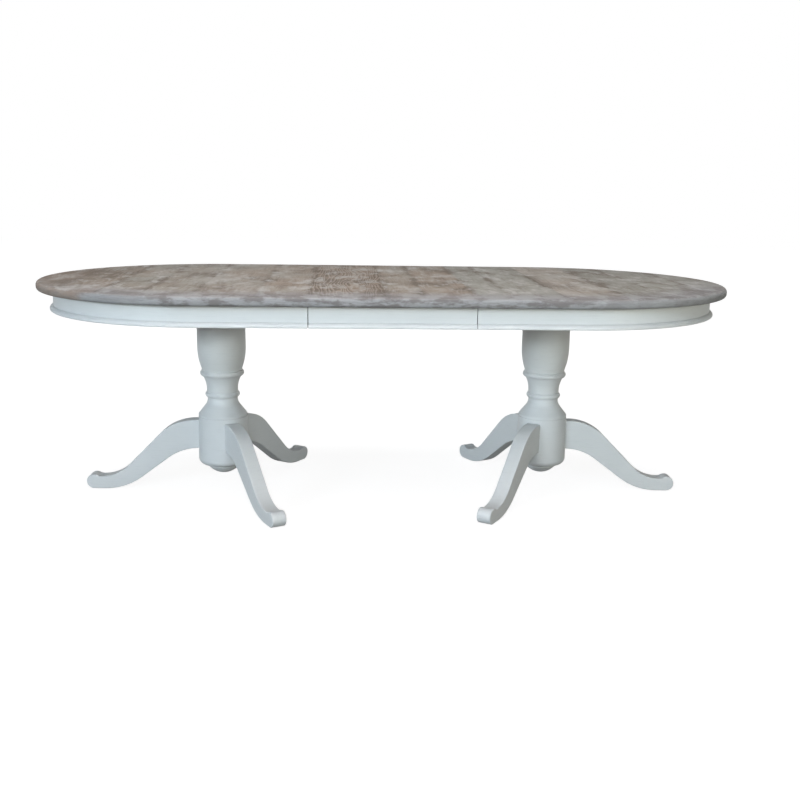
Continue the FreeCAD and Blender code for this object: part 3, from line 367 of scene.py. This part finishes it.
def worn_edge(graph, settings, x, worn, scrub):
    """Edge of the top: patchy lime, whole near both ends, and bare brown wood at the left tip."""
    side = graph.mix(worn, settings.edge_dark, settings.edge_pale)
    side = graph.mix(graph.between(x, *EDGE_BROWN_AT_LEFT_TIP), side, settings.edge_brown)
    limed = graph.product(graph.between(x, *EDGE_LIMED_ON_LEFT),
                          graph.between(x, *EDGE_LIMED_OFF_LEFT_TIP))
    limed = graph.math("ADD", limed, graph.between(x, *EDGE_LIMED_ON_RIGHT))
    side = graph.mix(limed, side, settings.edge_pale)
    return graph.mix(graph.between(scrub, *EDGE_SCRUBBED), side, settings.edge_dark)


def limed_oak(settings):
    """Weathered oak boards: rings, fibres and blotches under a white lime wash rubbed by use."""
    graph = Graph("limed_oak")
    x, y, z = graph.place()
    low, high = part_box("leaf_top")
    late, ring = growth_rings(graph, settings, x, y)
    marks = graph.noises((x, y, z), OAK_NOISES)
    marks.update(x=x, shade=graph.attribute("shade"), late=late)
    marks["pore"] = graph.product(graph.between(marks["pore"], *PORE_SHOWS),
                                  graph.between(ring, *PORE_IN_RING))
    cloud = graph.noise((x, y, graph.attribute("board")), *OAK_CLOUD_NOISE)
    off_middle = graph.math("SUBTRACT", x, graph.attribute("middle"))
    to_seam = graph.math("SUBTRACT", graph.attribute("half_width"),
                         graph.math("ABSOLUTE", off_middle))
    grime = graph.product(graph.between(to_seam, *GRIME_FROM_SEAM),
                          graph.between(marks["blotch"], *GRIME_IN_BLOTCH))

    brown = graph.math("ADD", graph.attribute("warmth"), graph.centred(cloud))
    wood = graph.mix(graph.between(brown, *BROWNED), settings.grey_wood, settings.brown_wood)
    dark = graph.weighted((late, LATE_DARKENS), (grime, GRIME_DARKENS))
    dark = graph.add_ranges(dark, marks, DARKENED_BY)
    bare = graph.mix(graph.math("MINIMUM", dark, MOST_DARK), wood, settings.dark_wood)
    early = graph.product(graph.between(ring, *EARLY_WHITENS), graph.attribute("figure"))
    white = graph.weighted((marks["pore"], PORE_WHITENS), (early, 1.0))
    white = graph.add_ranges(white, marks, WHITENED_BY)
    wood = graph.mix(graph.math("MINIMUM", white, MOST_WHITE), bare, settings.lime)

    worn = graph.between(marks["patch"], *WORN_PATCHES)
    rubbed = graph.product(graph.between(from_rim(graph, x, y), *RIM_RUBBED),
                           graph.between(y, *RIM_RUBBED_IN_FRONT),
                           graph.between(x, *RIM_RUBBED_OFF_LEFT_TIP))
    wood = graph.mix(rubbed, wood, graph.mix(worn, settings.rim_dark, settings.rim_pale))
    edge = graph.between(z, *(high.z + height for height in EDGE_BELOW_TOP))
    side = worn_edge(graph, settings, x, worn, marks["scrub"])
    wood = graph.mix(graph.math("MULTIPLY", edge, EDGE_COVER), wood, side)
    under = graph.between(z, *(low.z + height for height in BARE_ABOVE_UNDERSIDE))
    wood = graph.mix(under, wood, bare)

    graph.bump(graph.relief(marks, OAK_RELIEF), *OAK_BUMP)
    rough = graph.between(marks["fibre"], *OAK_ROUGH)
    return graph.set(Base_Color=wood, Roughness=rough, Specular_IOR_Level=0.1)


# Satin paint. Hollows are found within a reach in metres and get painted shade, and a joint is a
# hollow so narrow that it gets a near-black painted shadow. Scuffs are near the floor.
PAINT_NOISES = {
    "cloud": ((5.0, 5.0, 5.0), 3, 0.55),
    "stroke": ((18.0, 18.0, 260.0), 3, 0.6),
    "grain": ((310.0, 310.0, 14.0), 3, 0.6),
    "fleck": ((900.0, 900.0, 900.0), 2, 0.5),
}
PAINT_CLOUDS = (0.3, 0.7, 0.0, 0.5)
PAINT_CLOUD_SHARE = 0.94
PAINT_STROKES = (0.5, 0.8, 0.0, 0.22)
SCUFF_FLECKS = (0.56, 0.66)
SCUFF_HEIGHT = (0.060, 0.010, 0.0, 0.5)
HOLLOW_REACH = 0.012
HOLLOW_SAMPLES = 8
HOLLOW_SHADE = (0.80, 0.45, 0.0, 0.8)
JOINT_SHADE = (0.46, 0.16)
# Near-black painted shadow for the narrowest joints and crevices
JOINT_SHADOW = (0.02, 0.02, 0.02)
PAINT_RELIEF = {"stroke": 0.4, "grain": 0.4, "fleck": 0.15}
PAINT_BUMP = (0.14, 0.0004)
PAINT_ROUGH = (0.3, 0.7, 0.30, 0.40)


def satin_paint(settings):
    """Brushed satin paint: faint strokes, grain showing through, painted shade in the hollows."""
    graph = Graph("pale_paint")
    x, y, z = graph.place()
    marks = graph.noises((x, y, z), PAINT_NOISES)
    base = graph.mix(graph.between(marks["cloud"], *PAINT_CLOUDS), settings.paint,
                     shaded(settings.paint, PAINT_CLOUD_SHARE))
    base = graph.mix(graph.between(marks["stroke"], *PAINT_STROKES), base, settings.paint_dark_and_shade)
    scuff = graph.product(graph.between(marks["fleck"], *SCUFF_FLECKS),
                          graph.between(z, *SCUFF_HEIGHT))
    base = graph.mix(scuff, base, settings.paint_dark_and_shade)
    # Painted shade: the paint darkens wherever ambient occlusion finds a hollow
    hollow = graph.node("AmbientOcclusion", {"Distance": HOLLOW_REACH}, samples=HOLLOW_SAMPLES)
    hollow = hollow.outputs["AO"]
    base = graph.mix(graph.between(hollow, *HOLLOW_SHADE), base, settings.paint_dark_and_shade)
    # Painted shadow: nearly black where a hollow is as narrow as a joint
    base = graph.mix(graph.between(hollow, *JOINT_SHADE), base, JOINT_SHADOW)
    graph.bump(graph.relief(marks, PAINT_RELIEF), *PAINT_BUMP)
    rough = graph.between(marks["cloud"], *PAINT_ROUGH)
    return graph.set(Base_Color=base, Roughness=rough, Specular_IOR_Level=0.35)


# Bare beech, with the noises set for a grain along X
BEECH_NOISES = {
    "band": ((2.0, 45.0, 45.0), 3, 0.55, 0.4),
    "fleck": ((90.0, 900.0, 900.0), 2, 0.5),
}
BEECH_BANDS = (0.35, 0.70)
BEECH_BAND_SHARE = 0.72
BEECH_FLECKS = (0.60, 0.75, 0.0, 0.45)
BEECH_FLECK_SHARE = 0.50
BEECH_RELIEF = {"band": 1.0, "fleck": 0.5}
BEECH_BUMP = (0.3, 0.0004)
BEECH_ROUGH = (0.3, 0.7, 0.58, 0.70)


def bare_wood(settings, name, along):
    """Planed beech with its grain along X or Y: fine flecks and soft growth bands."""
    graph = Graph(name)
    x, y, z = graph.place()
    axes = (y, x, z) if along == "Y" else (x, y, z)
    marks = graph.noises(axes, BEECH_NOISES)
    pale = settings.bare_wood
    base = graph.mix(graph.between(marks["band"], *BEECH_BANDS), pale,
                     shaded(pale, BEECH_BAND_SHARE))
    base = graph.mix(graph.between(marks["fleck"], *BEECH_FLECKS), base,
                     shaded(pale, BEECH_FLECK_SHARE))
    graph.bump(graph.relief(marks, BEECH_RELIEF), *BEECH_BUMP)
    rough = graph.between(marks["band"], *BEECH_ROUGH)
    return graph.set(Base_Color=base, Roughness=rough, Specular_IOR_Level=0.3)


# Plated steel, with the share of its colour that is left in its clouds
STEEL_NOISES = {
    "cloud": ((160.0, 160.0, 160.0), 3, 0.6),
    "mark": ((2400.0, 2400.0, 600.0), 2, 0.5),
}
STEEL_CLOUDS = (0.35, 0.65)
STEEL_BUMP = (0.2, 0.00008)
STEEL_ROUGH = (0.3, 0.7, 0.26, 0.42)
ZINC_SHARE = 0.82
LATCH_SHARE = 0.78


def plated_steel(name, tint, share):
    """Zinc plate: metal with cloudy colour and fine tumbling marks."""
    graph = Graph(name)
    marks = graph.noises(graph.place(), STEEL_NOISES)
    base = graph.mix(graph.between(marks["cloud"], *STEEL_CLOUDS), tint, shaded(tint, share))
    graph.bump(marks["mark"], *STEEL_BUMP)
    rough = graph.between(marks["cloud"], *STEEL_ROUGH)
    return graph.set(Base_Color=base, Metallic=1.0, Roughness=rough)


# Moulded nylon
NYLON_NOISES = {
    "grain": ((1600.0, 1600.0, 1600.0), 2, 0.5),
    "scuff": ((240.0, 60.0, 240.0), 3, 0.6),
}
NYLON_SCUFFS = (0.5, 0.8, 0.0, 0.5)
NYLON_SCUFFED = (0.42, 0.40, 0.36)
NYLON_BUMP = (0.2, 0.0002)
NYLON_ROUGH = (0.3, 0.7, 0.42, 0.60)


def moulded_nylon(settings):
    """Off-white nylon with a fine moulded grain and scuffs."""
    graph = Graph("nylon")
    marks = graph.noises(graph.place(), NYLON_NOISES)
    base = graph.mix(graph.between(marks["scuff"], *NYLON_SCUFFS), settings.nylon, NYLON_SCUFFED)
    graph.bump(marks["grain"], *NYLON_BUMP)
    rough = graph.between(marks["scuff"], *NYLON_ROUGH)
    return graph.set(Base_Color=base, Roughness=rough)


def dress(nodes, material):
    """Gives every named node of the frame one material."""
    for name in nodes:
        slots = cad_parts[name].data.materials
        slots.clear()
        slots.append(material)


def both_ends(names):
    return [f"{side}_{name}" for side in SIDES for name in names]


# The boarded top
UNDER_STEPS = 6
OVER_STEPS = 7
END_STEPS = 96
CORNER_ANGLE = math.radians(32)
TINY = 1e-6


def quarter_turn(steps):
    return [math.pi / 2 * step / steps for step in range(steps + 1)]


def edge_profile(thickness, over, under):
    """Inset and height of the edge from the underside up: a rounding, a straight, a rounding."""
    steps = [(under * (1 - math.sin(turn)), under * (1 - math.cos(turn)))
             for turn in quarter_turn(UNDER_STEPS)]
    steps += [(over * (1 - math.cos(turn)), thickness - over * (1 - math.sin(turn)))
              for turn in quarter_turn(OVER_STEPS)]
    return steps


def end_loop(joint, sign, half, straight, inset):
    """Outline of a half-round end, drawn in by an inset everywhere except at the leaf joint."""
    middle = joint + sign * straight
    radius = half - inset
    turns = [math.pi * step / END_STEPS - math.pi / 2 for step in range(END_STEPS + 1)]
    loop = [(joint, -radius)]
    loop += [(middle + sign * radius * math.cos(turn), radius * math.sin(turn)) for turn in turns]
    loop.append((joint, radius))
    return loop


def leaf_loop(low, high, half, inset):
    """Outline of the leaf, drawn in by an inset along its two outer edges."""
    return [(low, inset - half), (high, inset - half), (high, half - inset), (low, half - inset)]


def slab(loops, heights):
    """Closed mesh through a stack of outlines."""
    mesh = bmesh.new()
    rings = [[mesh.verts.new((x, y, height)) for x, y in loop]
             for loop, height in zip(loops, heights)]
    count = len(rings[0])
    for lower, upper in zip(rings, rings[1:]):
        for index in range(count):
            after = (index + 1) % count
            mesh.faces.new((lower[index], lower[after], upper[after], upper[index]))
    mesh.faces.new(reversed(rings[0]))
    mesh.faces.new(rings[-1])
    bmesh.ops.recalc_face_normals(mesh, faces=mesh.faces)
    return mesh


def cut_at(mesh, place):
    geometry = mesh.verts[:] + mesh.edges[:] + mesh.faces[:]
    bmesh.ops.bisect_plane(mesh, geom=geometry, plane_co=(place, 0, 0), plane_no=(1, 0, 0))


def score_seams(mesh, seams, settings, top):
    """Cuts a fine groove into the upper face along each seam between two boards."""
    for seam in seams:
        for place in (seam - settings.seam_width, seam, seam + settings.seam_width):
            cut_at(mesh, place)
        for vertex in mesh.verts:
            if abs(vertex.co.x - seam) < TINY and vertex.co.z > top - TINY:
                vertex.co.z -= settings.seam_depth


def board_spans(start, sign, layout, reach):
    """Turns distances from a joint into each board's low and high side along the table."""
    spans = []
    near = 0.0
    for far, *looks in layout:
        far = min(far, reach)
        sides = sorted((start + sign * near, start + sign * far))
        spans.append((*sides, *looks))
        near = far
    return spans


def board_at(boards, x):
    """Number of the board that holds a place along the table, or lies nearest to it."""
    past = [max(board[0] - x, x - board[1]) for board in boards]
    return past.index(min(past))


def mark_boards(mesh, boards, first):
    """Writes on each face its board's number, middle, half width, shade, warmth and figure."""
    names = ("board", "middle", "half_width", "shade", "warmth", "figure")
    layers = [mesh.faces.layers.float.new(name) for name in names]
    for face in mesh.faces:
        number = board_at(boards, face.calc_center_median().x)
        low, high, *looks = boards[number]
        amounts = (first + number, (low + high) / 2, (high - low) / 2, *looks)
        for layer, amount in zip(layers, amounts):
            face[layer] = amount


def boarded_slab(low, high, outline, boards, seams, settings, first):
    """Slab between two corners, with an outline for each inset, a groove per seam and marks."""
    profile = edge_profile(high.z - low.z, settings.edge_radius, settings.under_radius)
    insets, heights = zip(*profile)
    mesh = slab([outline(inset) for inset in insets], [low.z + height for height in heights])
    score_seams(mesh, seams, settings, high.z)
    mark_boards(mesh, boards, first)
    return mesh


def finish_mesh(mesh, name, material):
    """Turns a bmesh into a smooth-shaded object with crisp corners."""
    data = bpy.data.meshes.new(name)
    mesh.to_mesh(data)
    mesh.free()
    for face in data.polygons:
        face.use_smooth = True
    data.set_sharp_from_angle(angle=CORNER_ANGLE)
    data.materials.append(material)
    piece = bpy.data.objects.new(name, data)
    bpy.context.scene.collection.objects.link(piece)
    return piece


def make_end_top(side, settings, material):
    low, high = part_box(f"{side}_top")
    sign = SIDES[side]
    joint = low.x if sign > 0 else high.x
    reach = high.x - low.x
    half = high.y
    outline = partial(end_loop, joint, sign, half, reach - half)
    boards = board_spans(joint, sign, END_BOARDS[side], reach)
    seams = [board[1] if sign > 0 else board[0] for board in boards[:-1]]
    mesh = boarded_slab(low, high, outline, boards, seams, settings, FIRST_BOARD[side])
    piece = finish_mesh(mesh, f"{side}_boards", material)
    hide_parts(f"{side}_top")
    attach(piece, f"{side}_half")


def make_leaf_top(settings, material):
    low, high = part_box("leaf_top")
    outline = partial(leaf_loop, low.x, high.x, high.y)
    boards = board_spans(low.x, 1, LEAF_BOARDS, high.x - low.x)
    seams = [board[1] for board in boards[:-1]]
    mesh = boarded_slab(low, high, outline, boards, seams, settings, FIRST_BOARD["leaf"])
    piece = finish_mesh(mesh, "leaf_boards", material)
    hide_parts("leaf_top")
    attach(piece, "leaf")


class TABLE_OT_lay_boards(bpy.types.Operator):
    """Lay the boards of the two ends and the leaf"""
    bl_idname = "table.lay_boards"
    bl_label = "Lay Boards"

    def execute(self, context):
        settings = context.scene.table_top
        material = limed_oak(settings)
        for side in SIDES:
            make_end_top(side, settings, material)
        make_leaf_top(settings, material)
        return {"FINISHED"}


class TABLE_OT_paint_woodwork(bpy.types.Operator):
    """Paint the aprons, columns, caps and legs"""
    bl_idname = "table.paint_woodwork"
    bl_label = "Paint Woodwork"

    def execute(self, context):
        material = satin_paint(context.scene.table_paint)
        dress(both_ends(PAINTED) + ["leaf_apron_front", "leaf_apron_back"], material)
        return {"FINISHED"}


class TABLE_OT_plane_runners(bpy.types.Operator):
    """Finish the bare wood of the runners, bearers, plates, blocks and battens"""
    bl_idname = "table.plane_runners"
    bl_label = "Plane Runners"

    def execute(self, context):
        settings = context.scene.table_paint
        dress(both_ends(RUNNERS), bare_wood(settings, "runner_wood", "X"))
        leaf_wood = ["leaf_batten_left", "leaf_batten_right", "leaf_glue_blocks"]
        dress(both_ends(CROSS_WOOD) + leaf_wood, bare_wood(settings, "bearer_wood", "Y"))
        return {"FINISHED"}


class TABLE_OT_plate_fittings(bpy.types.Operator):
    """Finish the bolts, screws, latches and glides"""
    bl_idname = "table.plate_fittings"
    bl_label = "Plate Fittings"

    def execute(self, context):
        settings = context.scene.table_paint
        zinc = plated_steel("zinc_steel", settings.zinc, ZINC_SHARE)
        dress(both_ends(FASTENERS) + ["leaf_screws"], zinc)
        plate = plated_steel("latch_plate", settings.latch, LATCH_SHARE)
        dress(both_ends(LATCHES) + ["leaf_keepers"], plate)
        dress(both_ends(GLIDES), moulded_nylon(settings))
        return {"FINISHED"}


# The studio. Lamps: name, the setting with their power, place, width and height, tint, and whether
# they show in reflections.
LAMPS = (
    ("window", "window_power", (-5.9, -7.0, 2.6), (3.0, 1.4), (0.80, 0.91, 1.0), True),
    ("front", "front_power", (-0.15, -3.3, 1.2), (0.5, 0.4), (0.97, 1.0, 0.97), True),
    ("high", "high_power", (-0.6, -6.0, 3.6), (3.0, 1.4), (0.67, 0.78, 1.0), True),
    ("steep", "steep_power", (-0.3, -2.2, 3.0), (2.4, 1.2), (1.0, 0.88, 0.86), True),
    ("fill", "fill_power", (2.2, -2.2, 0.8), (1.4, 1.0), (1.0, 0.95, 0.78), True),
    ("back", "back_power", (0, 4.5, 0.45), (3.0, 0.5), (1, 1, 1), False),
    ("left_end", "end_power", (-4.2, 3.2, 0.45), (2.0, 0.5), (1, 1, 1), False),
    ("right_end", "end_power", (4.2, 3.2, 0.45), (2.0, 0.5), (1, 1, 1), False),
)
LAMPS_AIM = (0, 0, 0.5)
CEILING_PLACE = (0, 0, 3)
CEILING_SPREAD = math.radians(24)
ROOM_TINT = (1, 0.98, 0.94)
WHITE = (1, 1, 1)

# How white the surroundings look along a ray that is not straight from the camera
WHITE_SHARES = {"Is Transmission Ray": 1.0, "Is Glossy Ray": 0.4}

# The floor: half its width in metres, the grey that lights the table, the white that takes the
# shadow, and the strength and share of its glow
FLOOR_HALF = 14
FLOOR_CELLS = 8
FLOOR_GREY = (0.22, 0.22, 0.22)
FLOOR_MATT = (0.9, 0.9, 0.9)
FLOOR_GLOW = 1.20
FLOOR_GLOW_SHARE = 0.75
SENSOR_WIDTH = 36


def seen_white(tree):
    """How white the surroundings look: fully straight on or through glass, less in a reflection."""
    path = tree.nodes.new("ShaderNodeLightPath")
    seen = path.outputs["Is Camera Ray"]
    for name, share in WHITE_SHARES.items():
        part = tree.nodes.new("ShaderNodeMath")
        part.operation = "MULTIPLY_ADD"
        tree.links.new(path.outputs[name], part.inputs[0])
        part.inputs[1].default_value = share
        tree.links.new(seen, part.inputs[2])
        seen = part.outputs[0]
    return seen


def studio_floor():
    """Wide pale floor that looks white and keeps the table's shadow."""
    mesh = bmesh.new()
    bmesh.ops.create_grid(mesh, x_segments=FLOOR_CELLS, y_segments=FLOOR_CELLS, size=FLOOR_HALF)
    data = bpy.data.meshes.new("floor")
    mesh.to_mesh(data)
    mesh.free()
    floor = bpy.data.objects.new("floor", data)
    bpy.context.scene.collection.objects.link(floor)
    graph = Graph("floor_white")
    graph.set(Base_Color=FLOOR_GREY, Roughness=0.9, Specular_IOR_Level=0.0)
    matt = graph.node("BsdfDiffuse", {"Color": FLOOR_MATT})
    glow = graph.node("Emission", {"Color": WHITE, "Strength": FLOOR_GLOW})
    white = graph.node("MixShader", {0: FLOOR_GLOW_SHARE, 1: matt.outputs[0], 2: glow.outputs[0]})
    blend = graph.node("MixShader", {0: seen_white(graph.tree), 1: graph.shader.outputs[0],
                                     2: white.outputs[0]})
    output = next(node for node in graph.tree.nodes if node.type == "OUTPUT_MATERIAL")
    graph.tree.links.new(blend.outputs[0], output.inputs["Surface"])
    data.materials.append(graph.material)


def studio_world(level):
    """White to the camera, and an even pale light on the table."""
    world = bpy.data.worlds.new("room")
    world.use_nodes = True
    tree = world.node_tree
    background = next(node for node in tree.nodes if node.type == "BACKGROUND")
    background.inputs["Color"].default_value = (*shaded(ROOM_TINT, level), 1)
    white = tree.nodes.new("ShaderNodeBackground")
    white.inputs["Color"].default_value = (*WHITE, 1)
    blend = tree.nodes.new("ShaderNodeMixShader")
    tree.links.new(seen_white(tree), blend.inputs[0])
    tree.links.new(background.outputs[0], blend.inputs[1])
    tree.links.new(white.outputs[0], blend.inputs[2])
    output = next(node for node in tree.nodes if node.type == "OUTPUT_WORLD")
    tree.links.new(blend.outputs[0], output.inputs["Surface"])
    bpy.context.scene.world = world


def soft_light(name, watts, place, size, tint, mirrored):
    """Large lamp turned to the middle of the table. The camera doesn't see it."""
    data = bpy.data.lights.new(name, "AREA")
    data.shape = "RECTANGLE"
    data.size, data.size_y = size
    data.energy = watts
    data.color = tint
    light = bpy.data.objects.new(name, data)
    light.location = place
    towards = Vector(LAMPS_AIM) - Vector(place)
    light.rotation_euler = towards.to_track_quat("-Z", "Y").to_euler()
    light.visible_camera = False
    light.visible_glossy = mirrored
    bpy.context.scene.collection.objects.link(light)


def ceiling_light(strength):
    """Wide even light from above."""
    data = bpy.data.lights.new("ceiling", "SUN")
    data.energy = strength
    data.angle = CEILING_SPREAD
    light = bpy.data.objects.new("ceiling", data)
    light.location = CEILING_PLACE
    bpy.context.scene.collection.objects.link(light)


def studio_camera(settings):
    """Camera turned by yaw, then pitch, then roll."""
    yaw, pitch, roll = settings.camera_yaw, settings.camera_pitch, settings.camera_roll
    level = math.cos(pitch)
    ahead = Vector((math.sin(yaw) * level, math.cos(yaw) * level, -math.sin(pitch)))
    right = Vector((math.cos(yaw), -math.sin(yaw), 0))
    up = right.cross(ahead)
    leaned_right = right * math.cos(roll) + up * math.sin(roll)
    leaned_up = up * math.cos(roll) - right * math.sin(roll)
    data = bpy.data.cameras.new("camera")
    data.lens = settings.camera_lens
    data.sensor_width = SENSOR_WIDTH
    camera = bpy.data.objects.new("camera", data)
    turn = Matrix((leaned_right, leaned_up, -ahead)).transposed().to_4x4()
    camera.matrix_world = Matrix.Translation(settings.camera_place) @ turn
    bpy.context.scene.collection.objects.link(camera)
    bpy.context.scene.camera = camera


class TABLE_OT_set_studio(bpy.types.Operator):
    """Set the floor, the light and the camera"""
    bl_idname = "table.set_studio"
    bl_label = "Set Studio"

    def execute(self, context):
        settings = context.scene.table_studio
        studio_floor()
        studio_world(settings.room_level)
        for name, setting, *looks in LAMPS:
            soft_light(name, getattr(settings, setting), *looks)
        ceiling_light(settings.ceiling_strength)
        studio_camera(settings)
        context.scene.view_settings.view_transform = "Standard"
        return {"FINISHED"}


STEPS = (TABLE_OT_lay_boards, TABLE_OT_paint_woodwork, TABLE_OT_plane_runners,
         TABLE_OT_plate_fittings, TABLE_OT_set_studio)


class TABLE_PT_panel(bpy.types.Panel):
    """Steps that finish the table"""
    bl_label = "Dining Table"
    bl_idname = "TABLE_PT_panel"
    bl_space_type = "VIEW_3D"
    bl_region_type = "UI"
    bl_category = "Table"

    def draw(self, context):
        for step in STEPS:
            self.layout.operator(step.bl_idname)


CLASSES = (TableTopSettings, PaintSettings, StudioSettings, *STEPS, TABLE_PT_panel)
SETTINGS = {
    "table_top": TableTopSettings,
    "table_paint": PaintSettings,
    "table_studio": StudioSettings,
}


def register():
    for kind in CLASSES:
        bpy.utils.register_class(kind)
    for name, kind in SETTINGS.items():
        setattr(bpy.types.Scene, name, PointerProperty(type=kind))


def unregister():
    for name in SETTINGS:
        delattr(bpy.types.Scene, name)
    for kind in reversed(CLASSES):
        bpy.utils.unregister_class(kind)


def main():
    register()
    bpy.ops.table.lay_boards()
    bpy.ops.table.paint_woodwork()
    bpy.ops.table.plane_runners()
    bpy.ops.table.plate_fittings()
    bpy.ops.table.set_studio()


if __name__ == "__main__":
    main()
